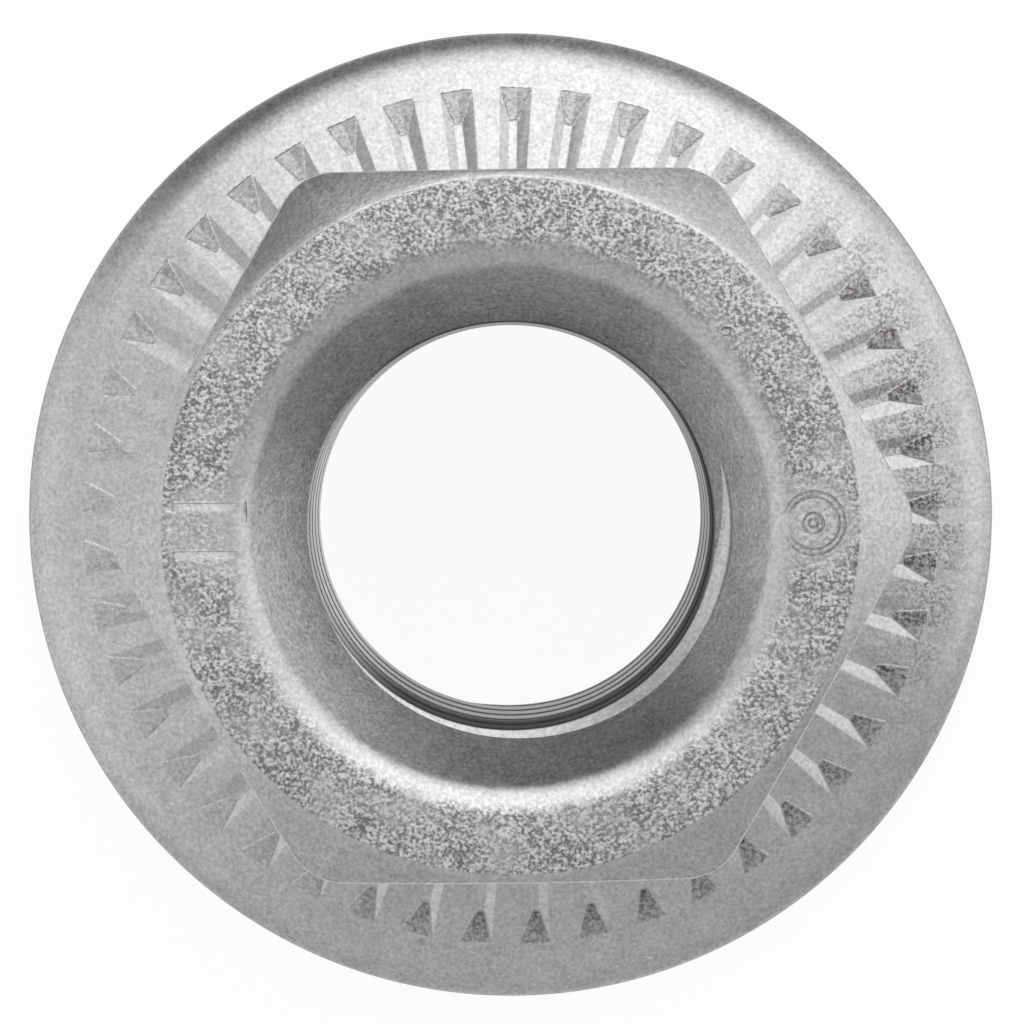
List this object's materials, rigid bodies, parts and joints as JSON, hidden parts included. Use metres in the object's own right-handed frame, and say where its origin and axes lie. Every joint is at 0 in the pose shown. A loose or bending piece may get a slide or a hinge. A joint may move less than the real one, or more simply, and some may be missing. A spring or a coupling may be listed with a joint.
{
  "type": "serrated flange nut",
  "caption": "Hexagon nut forged in one with a wide sloping flange, its top ringed by radial serration pockets, over a right-hand metric thread",
  "frame": {"origin": "centre of the bearing face, on the thread's axis", "axes": "+Z along the thread's axis from the bearing face to the hexagon's end; +X through a corner of the hexagon"},
  "size_m": [0.0218, 0.0218, 0.0098],
  "materials": {
    "zinc_steel": "bright zinc plate, coarse on the top face, smooth on the flange"
  },
  "bodies": {
    "root": {"flange_nut": "zinc_steel"}
  },
  "joints": []
}
